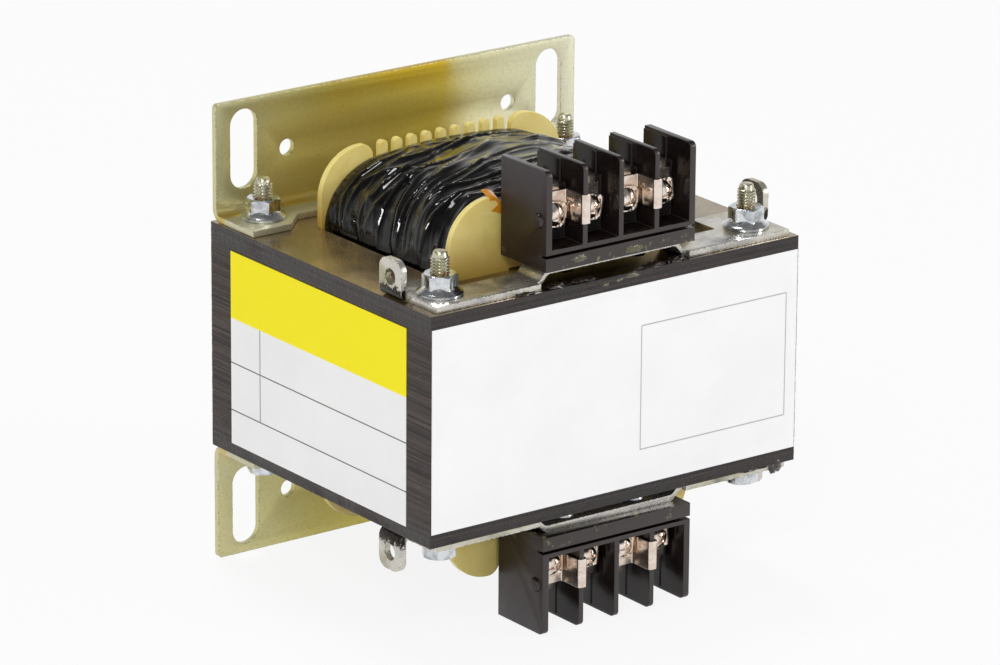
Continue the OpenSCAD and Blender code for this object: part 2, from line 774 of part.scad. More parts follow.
// Screws that hold a terminal block, with their heads in the space under the bridge
module block_screws(seat) {
    under = seat - plate_t;
    color("#b9b9b4") for (x = [-1, 1]) translate([x * block_screw_x, block_screw_y, 0]) {
        translate([0, 0, under]) cylinder(d = block_screw_d, h = plate_t + block_screw_l,
            $fn = fn_s);
        translate([0, 0, under - block_screw_head_h])
            cylinder(d1 = 1.4 * block_screw_d, d2 = 1.9 * block_screw_d,
                h = block_screw_head_h, $fn = fn_m);
    }
}

// ---- labels ----

module front_label() {
    color("white") translate([-core_w / 2 + front_label_side, -core_d - label_t,
        -core_top + front_label_edge])
        cube([core_w - 2 * front_label_side, label_t, stack_h - 2 * front_label_edge]);
}

module side_label() {
    color("#fff200") translate([-core_w / 2 - label_t, -core_d + side_label_front,
        -core_top + side_label_bottom])
        cube([label_t, core_d - side_label_front - side_label_back,
            stack_h - side_label_top - side_label_bottom]);
}

// ---- upper and lower groups ----

upper_seat = plate_top + upper_joggle;
lower_seat = plate_top + lower_joggle;

module upper_mounting_bracket() { mounting_bracket(); }
module lower_mounting_bracket() { mirror([0, 0, 1]) mounting_bracket(); }
module upper_terminal_plate() { terminal_plate(upper_joggle); }
module lower_terminal_plate() { mirror([0, 0, 1]) terminal_plate(lower_joggle); }
module upper_terminal_block() { terminal_block(upper_seat, upper_screw_rise); }
module lower_terminal_block() { mirror([0, 0, 1]) terminal_block(lower_seat, lower_screw_rise); }
module upper_terminal_tabs() { terminal_tabs(upper_seat, upper_screw_rise); }
module lower_terminal_tabs() { mirror([0, 0, 1]) terminal_tabs(lower_seat, lower_screw_rise); }
module upper_terminal_screws() { terminal_screws(upper_seat, upper_screw_rise); }
module lower_terminal_screws() { mirror([0, 0, 1]) terminal_screws(lower_seat, lower_screw_rise); }
module upper_clamp_washers() { clamp_washers(upper_seat, upper_screw_rise); }
module lower_clamp_washers() { mirror([0, 0, 1]) clamp_washers(lower_seat, lower_screw_rise); }
module upper_jumper_links() { jumper_links(upper_seat, upper_screw_rise); }
module lower_jumper_links() { mirror([0, 0, 1]) jumper_links(lower_seat, lower_screw_rise); }
module upper_block_screws() { block_screws(upper_seat); }
module lower_block_screws() { mirror([0, 0, 1]) block_screws(lower_seat); }
module upper_coil_leads() { coil_leads(upper_seat, upper_screw_rise); }
module lower_coil_leads() { mirror([0, 0, 1]) coil_leads(lower_seat, lower_screw_rise); }

e_laminations();
i_laminations();
bobbin();
primary_winding();
interwinding_insulation();
secondary_winding();
coil_wrap();
upper_mounting_bracket();
lower_mounting_bracket();
upper_terminal_plate();
lower_terminal_plate();
upper_terminal_block();
lower_terminal_block();
upper_terminal_tabs();
lower_terminal_tabs();
upper_terminal_screws();
lower_terminal_screws();
upper_clamp_washers();
lower_clamp_washers();
upper_jumper_links();
lower_jumper_links();
upper_block_screws();
lower_block_screws();
upper_coil_leads();
lower_coil_leads();
clamp_bolts();
flange_nuts();
front_label();
side_label();
polyimide_tape();
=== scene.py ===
import math
import random

import bmesh
import bpy
from mathutils import Matrix, Vector, noise


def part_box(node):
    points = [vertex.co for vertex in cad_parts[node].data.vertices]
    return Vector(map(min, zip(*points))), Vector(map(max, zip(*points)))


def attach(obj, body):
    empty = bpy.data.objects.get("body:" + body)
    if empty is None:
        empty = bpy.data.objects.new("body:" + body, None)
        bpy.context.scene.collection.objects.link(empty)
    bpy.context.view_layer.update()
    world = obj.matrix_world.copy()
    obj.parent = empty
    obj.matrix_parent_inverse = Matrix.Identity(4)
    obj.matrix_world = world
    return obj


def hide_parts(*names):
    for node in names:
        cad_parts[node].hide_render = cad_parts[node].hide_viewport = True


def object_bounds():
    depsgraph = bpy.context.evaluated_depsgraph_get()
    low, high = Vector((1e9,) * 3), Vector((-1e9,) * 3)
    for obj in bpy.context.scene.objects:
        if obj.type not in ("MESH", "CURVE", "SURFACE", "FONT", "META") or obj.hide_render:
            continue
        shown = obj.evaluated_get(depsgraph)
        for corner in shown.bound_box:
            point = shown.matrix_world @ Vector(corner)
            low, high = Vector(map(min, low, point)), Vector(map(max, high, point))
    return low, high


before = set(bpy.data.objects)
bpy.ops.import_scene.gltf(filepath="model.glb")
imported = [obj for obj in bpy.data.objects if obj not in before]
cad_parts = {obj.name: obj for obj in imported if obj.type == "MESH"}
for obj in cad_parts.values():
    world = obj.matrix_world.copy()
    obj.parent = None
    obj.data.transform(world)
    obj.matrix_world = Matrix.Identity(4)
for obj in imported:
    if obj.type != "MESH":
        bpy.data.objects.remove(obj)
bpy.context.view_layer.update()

# Laminated chassis transformer, dressed round its CAD frame. Sizes are in millimetres unless a
# line says otherwise, x to the right, y back to the mounting plane, z up.

MM = 0.001
SIDES = ("upper", "lower")
rng = random.Random(7)


def box_mm(node):
    """Lowest and highest corner of a CAD node, in millimetres."""
    low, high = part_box(node)
    return low / MM, high / MM


def clamp(value, low, high):
    return max(low, min(value, high))


def circle(n):
    """n angles of a full turn."""
    return [2 * math.pi * j / n for j in range(n)]


# ---------------------------------------------------------------- sizes

SHEET = 0.5             # one lamination
PACKET = 6              # laminations laid the same way round before the next packet is turned
TAPE_RADIUS = 16        # corner of the taped coil
BOW_REACH = 26          # half width over which the coil's top and bottom bow
BOW = 330               # the sag of that bow is x * x / BOW
TAPE_THICK = 0.65       # all turns of the tape together, at the ends of the coil
LOWEST_FOLD = -0.3      # how far a valley between folds may go below the smooth tape
INNER_WINDING = 8       # thickness of the innermost winding
FLANGE_D = 11.8         # flange of an M5 flange nut
FLATS = 8.0             # its width across flats
PITCH = 0.8             # M5 thread
SHANK = 4.8             # outer diameter of the thread
BLOCK_END = 23.1        # half width of a terminal block without its bosses
BOSS_FROM_FRONT = 2.9   # centre of a boss behind the front of its block
ROUND = 72              # sides of a nut or screw head
THREAD_ROUND = 36       # sides of a thread
PRINT_LINE = 0.16       # half width of a printed line


# ---------------------------------------------------------------- materials

def srgb(r, g, b):
    """Linear colour of an 8-bit sRGB one."""
    def lin(v):
        v /= 255
        return v / 12.92 if v <= 0.04045 else ((v + 0.055) / 1.055) ** 2.4
    return (lin(r), lin(g), lin(b), 1)


def add_node(tree, kind, inputs=None, **props):
    """Adds a shader node. A socket among the inputs is linked, any other value is set."""
    n = tree.nodes.new("ShaderNode" + kind)
    for key, value in props.items():
        setattr(n, key, value)
    for key, value in (inputs or {}).items():
        if isinstance(value, bpy.types.NodeSocket):
            tree.links.new(value, n.inputs[key])
        else:
            n.inputs[key].default_value = value
    return n


def empty_tree(block):
    """The node tree of a material or world, with nothing in it."""
    block.use_nodes = True
    block.node_tree.nodes.clear()
    return block.node_tree


class Mat:
    """A node material on object coordinates in millimetres."""

    def __init__(self, name, **sockets):
        self.mat = bpy.data.materials.new(name)
        self.tree = empty_tree(self.mat)
        self.bsdf = self.node("BsdfPrincipled",
                              {key.replace("_", " "): value for key, value in sockets.items()})
        self.node("OutputMaterial", {"Surface": self.bsdf.outputs[0]})
        coord = self.node("TexCoord").outputs["Object"]
        self.p = self.scaled(coord, (1 / MM,) * 3)
        self.x, self.y, self.z = self.node("SeparateXYZ", {0: self.p}).outputs

    def node(self, kind, inputs=None, **props):
        return add_node(self.tree, kind, inputs, **props)

    def math(self, op, a, b=0.0):
        return self.node("Math", {0: a, 1: b}, operation=op).outputs[0]

    def times(self, first, *others):
        for other in others:
            first = self.math("MULTIPLY", first, other)
        return first

    def plus(self, a, b):
        return self.math("ADD", a, b)

    def size(self, value):
        return self.math("ABSOLUTE", value)

    def scaled(self, vec, factors):
        return self.node("VectorMath", {0: vec, 1: factors}, operation="MULTIPLY").outputs[0]

    def stretch(self, *factors):
        """The object coordinates, scaled on each axis, for a noise that runs along a surface."""
        return self.scaled(self.p, factors)

    def noise(self, scale, detail=3.0, rough=0.55, distort=0.0, vec=None):
        return self.node("TexNoise", {"Vector": vec or self.p, "Scale": scale, "Detail": detail,
                                      "Roughness": rough, "Distortion": distort}).outputs[0]

    def ramp(self, fac, *stops):
        n = self.node("ValToRGB", {0: fac})
        elements = n.color_ramp.elements
        while len(elements) < len(stops):
            elements.new(0.5)
        for element, (pos, col) in zip(elements, stops):
            element.position = pos
            element.color = col
        return n.outputs[0]

    def level(self, fac, low, high, a=0.0, b=1.0):
        """Maps fac from low..high to a..b, and holds it there."""
        n = self.node("MapRange", {"Value": fac, "From Min": low, "From Max": high,
                                   "To Min": a, "To Max": b}, clamp=True)
        return n.outputs[0]

    def spread(self, fac, a, b):
        """Maps the usual range of a noise to a..b."""
        return self.level(fac, 0.3, 0.7, a, b)

    def mix(self, fac, a, b):
        return self.node("Mix", {0: fac, 6: a, 7: b}, data_type="RGBA").outputs[2]

    def band(self, value, low, high, soft=0.05):
        """1 where value lies between low and high."""
        up = self.level(value, low - soft, low + soft)
        down = self.level(value, high - soft, high + soft, 1.0, 0.0)
        return self.times(up, down)

    def line(self, value, at):
        """1 on a printed line where value is at."""
        return self.band(value, at - PRINT_LINE, at + PRINT_LINE)

    def bump(self, height, depth, normal=None):
        inputs = {"Height": height, "Distance": depth * MM, "Strength": 1.0}
        if normal:
            inputs["Normal"] = normal
        return self.node("Bump", inputs).outputs[0]

    def edges(self, radius):
        """About 1 along edges and 0 on flat ground."""
        soft = self.node("Bevel", {"Radius": radius * MM}, samples=4).outputs[0]
        hard = self.node("NewGeometry").outputs["Normal"]
        dot = self.node("VectorMath", {0: soft, 1: hard}, operation="DOT_PRODUCT").outputs["Value"]
        return self.level(dot, 0.995, 0.93)

    def facing(self, axis):
        """Size of the surface normal along an axis."""
        n = self.node("SeparateXYZ", {0: self.node("NewGeometry").outputs["True Normal"]})
        return self.size(n.outputs[axis])

    def set(self, **links):
        for key, socket in links.items():
            self.tree.links.new(socket, self.bsdf.inputs[key.replace("_", " ")])
        return self.mat


def sheet_metal(m, col, rough, worn):
    """Finish of a plated steel sheet: fine grain, edges rubbed bright and dark."""
    grain = m.noise(1.1, 4, 0.7)
    fine = m.noise(5.0, 3, 0.7)
    col = m.mix(m.level(grain, 0.5, 0.8, 0.0, 0.3), col, srgb(118, 108, 70))
    col = m.mix(m.level(fine, 0.62, 0.75, 0.0, 0.35), col, srgb(232, 230, 214))
    edge = m.edges(0.4)
    chips = m.noise(1.6, 4, 0.8)
    col = m.mix(m.times(edge, m.level(chips, 0.5, 0.56)), col, worn)
    col = m.mix(m.times(edge, m.level(chips, 0.5, 0.44)), col, srgb(40, 33, 31))
    r = m.plus(m.spread(grain, rough - 0.04, rough + 0.08), m.spread(fine, -0.04, 0.05))
    return m.set(Base_Color=col, Roughness=r, Normal=m.bump(fine, 0.008, m.bump(grain, 0.02)))


def bracket_metal():
    """Chromated zinc: grey-green with a golden field in the middle and along the bend."""
    m = Mat("chromate_sheet", Metallic=0.72)
    drift = m.noise(0.03, 2, 0.4)
    x = m.plus(m.x, m.spread(drift, -7, 7))
    col = m.ramp(m.level(x, -60, 60),
                 (0.0, srgb(206, 202, 160)), (0.18, srgb(200, 192, 128)),
                 (0.42, srgb(192, 178, 88)), (0.60, srgb(196, 180, 80)),
                 (0.72, srgb(214, 210, 168)), (1.0, srgb(216, 214, 194)))
    near_top = m.level(m.plus(m.z, m.spread(drift, -5, 5)), 50, 63)
    front_face = m.level(m.y, -0.5, -1.2)
    gold = m.times(m.level(x, -26, -2), m.level(x, 18, 13), m.level(near_top, 0.0, 0.7), front_face)
    col = m.mix(m.times(gold, 0.8), col, srgb(206, 172, 22))
    foot = m.level(m.y, -4.5, -7.5)
    col = m.mix(foot, col, srgb(200, 196, 166))
    bend = m.times(m.band(m.y, -5.2, -1.9, 0.8), m.level(m.size(m.z), 36.5, 33.5))
    patchy = m.level(m.noise(0.12, 3), 0.38, 0.5, 0.3, 0.8)
    col = m.mix(m.times(bend, patchy), col, srgb(200, 168, 62))
    return sheet_metal(m, col, 0.36, srgb(214, 210, 198))


def plate_metal():
    """Zinc plate, bluish where varnish has run over it and olive at its inner edge."""
    m = Mat("zinc_sheet", Metallic=0.85)
    col = m.ramp(m.noise(0.07, 4, 0.6, 0.6),
                 (0.3, srgb(178, 176, 176)), (0.5, srgb(206, 202, 194)), (0.7, srgb(190, 186, 162)))
    wet = m.times(m.band(m.size(m.x), 24, 40, 4), m.level(m.noise(0.1, 3, 0.5, 0.5), 0.42, 0.56))
    col = m.mix(m.times(wet, 0.6), col, srgb(88, 92, 96))
    inner = m.times(m.level(m.y, -81, -77), m.level(m.noise(0.16, 3), 0.4, 0.6))
    col = m.mix(m.times(inner, 0.55), col, srgb(138, 132, 88))
    ragged = m.plus(m.size(m.z), m.spread(m.noise(0.7, 4, 0.8), -1.6, 1.6))
    drips = m.times(m.level(ragged, 33.6, 33.2), m.level(m.size(m.x), 55.2, 56))
    col = m.mix(drips, col, srgb(34, 27, 27))
    return sheet_metal(m, col, 0.26, srgb(240, 238, 230))


def core_steel():
    """Varnished laminations: dark lines between the sheets, glossy varnish on the top, painted
    shade on the top under the bridge.
    """
    m = Mat("core_steel", Coat_Roughness=0.14, Specular_IOR_Level=0.3)
    layer = m.math("FLOOR", m.times(m.z, 1 / SHEET))
    tone = m.node("TexWhiteNoise", {"W": layer}, noise_dimensions="1D").outputs["Value"]
    streak = m.noise(1.0, 4, 0.65, 0.0, m.stretch(0.07, 0.07, 2.4))
    side = m.ramp(m.plus(m.times(tone, 0.4), m.times(streak, 0.6)),
                  (0.28, srgb(30, 23, 22)), (0.42, srgb(58, 47, 44)),
                  (0.62, srgb(74, 62, 58)), (0.8, srgb(92, 80, 76)))
    line = m.noise(1.0, 3, 0.6, 0.0, m.stretch(0.035, 0.035, 4.2))
    side = m.mix(m.level(line, 0.54, 0.58, 0.0, 0.9), side, srgb(22, 17, 17))
    wet = m.times(m.level(m.size(m.z), 22.5, 26.5),
                  m.level(m.noise(0.11, 4, 0.6, 0.5), 0.36, 0.5, 0.25, 1.0))
    side = m.mix(m.times(wet, 0.75), side, srgb(26, 20, 19))
    flat = m.ramp(m.noise(0.05, 4, 0.6, 0.8),
                  (0.3, srgb(104, 86, 60)), (0.48, srgb(132, 112, 76)),
                  (0.58, srgb(150, 128, 84)), (0.7, srgb(112, 90, 66)))
    flat = m.mix(m.level(m.noise(0.5, 4, 0.7), 0.55, 0.8, 0.0, 0.22), flat, srgb(58, 42, 34))
    # painted shade: the front of the core's top under the bridge is darkened almost to black
    painted_shade_under_bridge = m.times(m.level(m.y, -85, -89), m.level(m.size(m.x), 31, 26))
    flat = m.mix(m.times(painted_shade_under_bridge, 0.92), flat, srgb(20, 15, 14))
    up = m.level(m.facing(2), 0.4, 0.6)
    fine = m.noise(2.2, 4, 0.7)
    rough = m.mix(up, m.spread(streak, 0.5, 0.36), m.spread(fine, 0.2, 0.3))
    coat = m.math("MAXIMUM", m.times(up, 0.6), m.times(wet, 0.4))
    beaded = m.times(m.plus(m.times(wet, 0.9), 0.1), m.level(up, 0.0, 1.0, 1.0, 0.03))
    lumps = m.times(m.noise(0.8, 4, 0.6), beaded)
    return m.set(Base_Color=m.mix(up, side, flat), Roughness=rough, Coat_Weight=coat,
                 Metallic=m.times(up, 0.6), Normal=m.bump(fine, 0.02, m.bump(lumps, 0.3)))


def bobbin_nylon():
    """Cream nylon, with painted shade towards the core: darker and browner there."""
    m = Mat("bobbin_nylon", Roughness=0.34, Subsurface_Weight=0.3, Subsurface_Scale=0.002, IOR=1.53)
    m.bsdf.inputs["Subsurface Radius"].default_value = (1.0, 0.7, 0.25)
    col = m.ramp(m.noise(0.09, 3, 0.5),
                 (0.3, srgb(232, 210, 122)), (0.55, srgb(240, 222, 140)),
                 (0.75, srgb(224, 198, 104)))
    # painted shade: darker and browner towards the core, where the nylon sits in shade
    low = m.level(m.size(m.z), 42, 31)
    col = m.mix(m.times(low, 0.75), col, srgb(176, 136, 40))
    return m.set(Base_Color=col, Normal=m.bump(m.noise(1.6, 3, 0.6), 0.03))


def black_tape():
    """Wound film tape: black, bright on its creases, olive where its layers end at the comb."""
    m = Mat("black_tape", Specular_IOR_Level=0.08, Coat_Roughness=0.04)
    crest = m.node("NewGeometry").outputs["Pointiness"]
    fine = m.noise(0.9, 2, 0.5, 0.6, m.stretch(0.35, 1.0, 1.0))
    end = m.level(m.plus(m.y, m.spread(m.noise(0.12, 3), -1.5, 1.5)), -24, -21.5)
    stain = m.times(end, m.level(m.noise(0.45, 3, 0.6, 0.5, m.stretch(1.0, 0.4, 1.0)), 0.44, 0.58))
    streaks = m.noise(0.5, 3, 0.6, 0.8, m.stretch(0.1, 1.0, 0.1))
    col = m.mix(m.times(m.level(streaks, 0.6, 0.68), 0.16), srgb(8, 6, 6), srgb(104, 98, 60))
    col = m.mix(m.times(stain, 0.6), col, srgb(88, 80, 46))
    return m.set(Base_Color=col, Coat_Weight=m.level(crest, 0.49, 0.525, 0.12, 1.0),
                 Roughness=m.level(fine, 0.35, 0.7, 0.06, 0.14), Normal=m.bump(fine, 0.04))


def block_plastic():
    """Moulded phenolic: dark and glossy inside, duller and lighter on its ends and front edges."""
    m = Mat("block_phenolic", Specular_IOR_Level=0.3)
    cloud = m.noise(0.12, 4, 0.6, 0.4)
    speck = m.noise(3.0, 3, 0.7)
    col = m.ramp(cloud,
                 (0.35, srgb(20, 15, 14)), (0.55, srgb(28, 21, 19)), (0.72, srgb(36, 28, 25)))
    outer = m.times(m.level(m.size(m.x), BLOCK_END - 0.2, BLOCK_END - 0.1),
                    m.level(m.facing(0), 0.6, 0.8))
    grade = m.mix(m.level(m.size(m.z), 48, 60), srgb(38, 27, 22), srgb(58, 52, 55))
    col = m.mix(outer, col, grade)
    front = m.times(m.level(m.y, -91, -94), m.level(m.facing(1), 0.6, 0.8))
    col = m.mix(m.times(m.math("MAXIMUM", front, m.edges(0.3)), 0.5), col, srgb(84, 78, 76))
    base = m.times(m.band(m.size(m.z), 32, 37, 0.5), m.level(m.noise(0.2, 4, 0.7), 0.58, 0.63))
    col = m.mix(m.times(base, 0.6), col, srgb(150, 146, 100))
    rough = m.plus(m.spread(cloud, 0.14, 0.26), m.times(outer, 0.2))
    return m.set(Base_Color=col, Roughness=rough,
                 Normal=m.bump(speck, 0.008, m.bump(m.noise(0.5, 3), 0.03)))


def bright_metal(name, tone, dark, rough):
    """Plated metal, clouded from one tone to a darker one."""
    m = Mat(name, Metallic=1.0)
    cloud = m.noise(0.35, 4, 0.6, 0.5)
    fine = m.noise(3.0, 3, 0.7)
    col = m.mix(m.level(cloud, 0.42, 0.7), tone, dark)
    return m.set(Base_Color=col, Roughness=m.spread(fine, rough - 0.04, rough + 0.08),
                 Normal=m.bump(fine, 0.008))


def bolt_metal():
    """Yellow zinc thread, amber where varnish has run into its roots."""
    m = Mat("zinc_bolt", Metallic=0.92)
    cloud = m.noise(0.3, 4, 0.6, 0.5)
    col = m.ramp(cloud,
                 (0.35, srgb(180, 176, 146)), (0.55, srgb(204, 202, 186)),
                 (0.7, srgb(160, 152, 112)))
    root = m.times(m.level(m.z, 38.5, 36.5), m.level(cloud, 0.35, 0.55))
    col = m.mix(m.times(root, 0.7), col, srgb(150, 104, 26))
    return m.set(Base_Color=col, Roughness=m.spread(m.noise(2.5), 0.22, 0.36),
                 Normal=m.bump(m.noise(3.0), 0.01))


def clear_film(name, col, rough, clear=0.35):
    """Tinted film or thin varnish that lets some light through."""
    m = Mat(name, Roughness=rough, Transmission_Weight=clear, IOR=1.5, Coat_Weight=0.5)
    tone = m.ramp(m.noise(0.6, 3), (0.3, col), (0.7, (*(c * 0.75 for c in col[:3]), 1)))
    return m.set(Base_Color=tone, Normal=m.bump(m.noise(0.8, 3), 0.06))


def gloss_varnish():
    """Thick dried varnish, almost black, with amber in its thin places."""
    m = Mat("dark_varnish", Coat_Weight=0.6, Coat_Roughness=0.05)
    col = m.ramp(m.noise(0.7, 3),
                 (0.35, srgb(22, 16, 15)), (0.6, srgb(40, 30, 24)), (0.75, srgb(110, 78, 34)))
    return m.set(Base_Color=col, Roughness=m.spread(m.noise(2.0, 3), 0.08, 0.24),
                 Normal=m.bump(m.noise(1.4, 3), 0.12))


def varnished_wire(name):
    """Enamelled copper."""
    m = Mat(name, Roughness=0.25, Coat_Weight=0.7, Coat_Roughness=0.1)
    col = m.ramp(m.noise(0.5, 4), (0.3, srgb(96, 48, 22)), (0.7, srgb(150, 84, 40)))
    return m.set(Base_Color=col, Normal=m.bump(m.noise(2.0, 3), 0.02))


def label_paper(name, paint):
    """Printed film label over the edges of the laminations."""
    m = Mat(name, Specular_IOR_Level=0.2)
    white = m.ramp(m.noise(0.05, 3), (0.3, srgb(243, 243, 244)), (0.7, srgb(248, 248, 248)))
    ripple = m.noise(1.0, 3, 0.6, 0.0, m.stretch(0.03, 0.03, 0.9))
    fine = m.noise(1.5, 3, 0.6)
    return m.set(Base_Color=paint(m, white), Roughness=m.spread(fine, 0.36, 0.48),
                 Normal=m.bump(ripple, 0.04, m.bump(fine, 0.01)))


def front_print(m, white):
    """A thin grey frame on the right half of the label."""
    left, right, bottom, top = 7.4, 53.4, -17.1, 15.5
    across = m.band(m.x, left, right)
    upright = m.band(m.z, bottom, top)
    lines = m.times(m.line(m.x, left), upright)
    for value, at, along in ((m.x, right, upright), (m.z, bottom, across), (m.z, top, across)):
        lines = m.math("MAXIMUM", lines, m.times(m.line(value, at), along))
    return m.mix(lines, white, srgb(176, 178, 180))


def side_print(m, white):
    """A yellow band along the top, thin rules below it."""
    low, high = box_mm("side_label")
    width, height = high.y - low.y, high.z - low.z
    band_foot, middle_rule, low_rule = (high.z - part * height for part in (0.345, 0.576, 0.823))
    rules = m.math("MAXIMUM", m.line(m.z, middle_rule), m.line(m.z, low_rule))
    upright = m.times(m.line(m.y, high.y - 0.17 * width), m.band(m.z, low_rule, band_foot))
    col = m.mix(m.math("MAXIMUM", rules, upright), white, srgb(84, 84, 84))
    band = m.level(m.z, band_foot - 0.08, band_foot + 0.08)
    return m.mix(band, col, srgb(255, 240, 0))


MATS = {
    "bracket": bracket_metal(), "plate": plate_metal(), "core": core_steel(),
    "bobbin": bobbin_nylon(), "tape": black_tape(), "block": block_plastic(), "bolt": bolt_metal(),
    "nut": bright_metal("zinc_nut", srgb(216, 219, 222), srgb(150, 154, 158), 0.14),
    "screw": bright_metal("screw_nickel", srgb(238, 228, 220), srgb(206, 188, 172), 0.1),
    "nickel": bright_metal("nickel_strip", srgb(232, 218, 206), srgb(206, 188, 174), 0.2),
    "washer": bright_metal("ridged_washer", srgb(236, 224, 212), srgb(190, 168, 146), 0.1),
    "wire": varnished_wire("enamelled_wire"), "winding": varnished_wire("magnet_wire"),
    "amber": clear_film("amber_tape", srgb(255, 170, 36), 0.12, 0.15),
    "varnish": clear_film("varnish_drop", srgb(104, 96, 58), 0.08),
    "dark_varnish": gloss_varnish(),
    "film": clear_film("insulation_film", srgb(214, 196, 150), 0.3),
    "front_label": label_paper("label_white", front_print),
    "side_label": label_paper("label_yellow", side_print),
}


# ---------------------------------------------------------------- mesh helpers

def piece(name, bm, material, slot, *nodes, sharp=32):
    """Adds a shape to the scene, riding on the part and standing for CAD nodes."""
    bmesh.ops.recalc_face_normals(bm, faces=bm.faces)
    mesh = bpy.data.meshes.new(name)
    bm.to_mesh(mesh)
    bm.free()
    mesh.materials.append(MATS[material])
    mesh.shade_smooth()
    mesh.set_sharp_from_angle(angle=math.radians(sharp))
    obj = bpy.data.objects.new(name, mesh)
    bpy.context.scene.collection.objects.link(obj)
    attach(obj, "root")
    if nodes:
        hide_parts(*nodes)


def add_grid(bm, rows, tube=False):
    """Skins closed rows of points. A tube joins its last row to its first, else both get a cap."""
    grid = [[bm.verts.new(Vector(p) * MM) for p in row] for row in rows]
    n = len(rows[0])
    pairs = list(zip(grid, grid[1:]))
    if tube:
        pairs.append((grid[-1], grid[0]))
    for a, b in pairs:
        for j in range(n):
            k = (j + 1) % n
            bm.faces.new((a[j], a[k], b[k], b[j]))
    if not tube:
        bm.faces.new(grid[0])
        bm.faces.new(grid[-1])


def softened(node, material, slot, width, segments=2):
    """A copy of a CAD node whose sharp edges are rounded."""
    bm = bmesh.new()
    bm.from_mesh(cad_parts[node].data)
    bmesh.ops.remove_doubles(bm, verts=bm.verts, dist=2e-6)
    bmesh.ops.dissolve_limit(bm, angle_limit=math.radians(0.6), verts=bm.verts, edges=bm.edges)
    sharp = [e for e in bm.edges
             if len(e.link_faces) == 2 and e.calc_face_angle(0) > math.radians(35)]
    bmesh.ops.bevel(bm, geom=sharp, offset=width * MM, offset_type="OFFSET", segments=segments,
                    profile=0.6, affect="EDGES", clamp_overlap=True)
    piece(node + "_soft", bm, material, slot, node)


# ---------------------------------------------------------------- core

def build_core():
    """Every lamination as its own thin plate, laid in turn from the front and the back."""
    low, high = box_mm("e_laminations")
    half_w = high.x
    depth = -low.y
    leg = depth / 5
    joint = -depth + leg
    tip = joint + 0.06
    e_sheet = [(-half_w, 0), (-half_w, tip), (-half_w + leg, tip), (-half_w + leg, -leg),
               (-leg, -leg), (-leg, tip), (leg, tip), (leg, -leg),
               (half_w - leg, -leg), (half_w - leg, tip), (half_w, tip), (half_w, 0)]
    i_sheet = [(-half_w, joint), (-half_w, -depth), (half_w, -depth), (half_w, joint)]
    bm = bmesh.new()
    for i in range(round((high.z - low.z) / SHEET)):
        z = low.z + i * SHEET
        shift_x = rng.uniform(-0.06, 0.06)
        shift_y = rng.uniform(-0.05, 0.0)
        thick = SHEET - rng.uniform(0.02, 0.06)
        from_front = (i // PACKET) % 2 == 1
        for outline in (e_sheet, i_sheet):
            points = [(clamp(x + shift_x, -half_w, half_w) if abs(x) == half_w else x,
                       y + shift_y if y in (0, -depth) else y) for x, y in outline]
            if from_front:
                points = [(x, -depth - y) for x, y in points]
            points = [(x, clamp(y, -depth, 0)) for x, y in points]
            add_grid(bm, [[(x, y, at) for x, y in points] for at in (z, z + thick)])
    piece("core_stack", bm, "core", "core_steel", "e_laminations", "i_laminations")


# ---------------------------------------------------------------- coil

def rounded_path(hx, hz, r, n):
    """n points round a rectangle with round corners: x, z, outward normal, length run so far."""
    arc = math.pi / 2 * r
    sides = [2 * (hz - r), arc, 2 * (hx - r), arc] * 2
    total = sum(sides)
    starts = [(hx, -(hz - r)), (hx - r, hz), (-hx, hz - r), (-(hx - r), -hz)]
    steps = [(0, 1), (-1, 0), (0, -1), (1, 0)]
    normals = [(1, 0), (0, 1), (-1, 0), (0, -1)]
    centres = [(hx - r, hz - r), (-(hx - r), hz - r), (-(hx - r), -(hz - r)), (hx - r, -(hz - r))]
    out = []
    for i in range(n):
        s = total * i / n
        run = s
        k = 0
        while run > sides[k]:
            run -= sides[k]
            k += 1
        quarter = k // 2
        if k % 2 == 0:
            (x, z), (dx, dz) = starts[quarter], steps[quarter]
            out.append((x + dx * run, z + dz * run, *normals[quarter], s))
        else:
            x, z = centres[quarter]
            a = quarter * math.pi / 2 + run / r
            nx, nz = math.cos(a), math.sin(a)
            out.append((x + r * nx, z + r * nz, nx, nz, s))
    return out


def arched(hx, hz, r, n):
    """The rounded rectangle with its top and bottom bowed outwards."""
    def sag(x, z):
        return min(abs(x), BOW_REACH) ** 2 / BOW * min(1, abs(z) / 20)
    return [(x, z - math.copysign(sag(x, z), z), nx, nz, s)
            for x, z, nx, nz, s in rounded_path(hx, hz, r, n)]


def ridge(x, y, seed, power):
    """Sharp crests from smooth noise."""
    return (1 - abs(noise.noise(Vector((x, y, seed))))) ** power


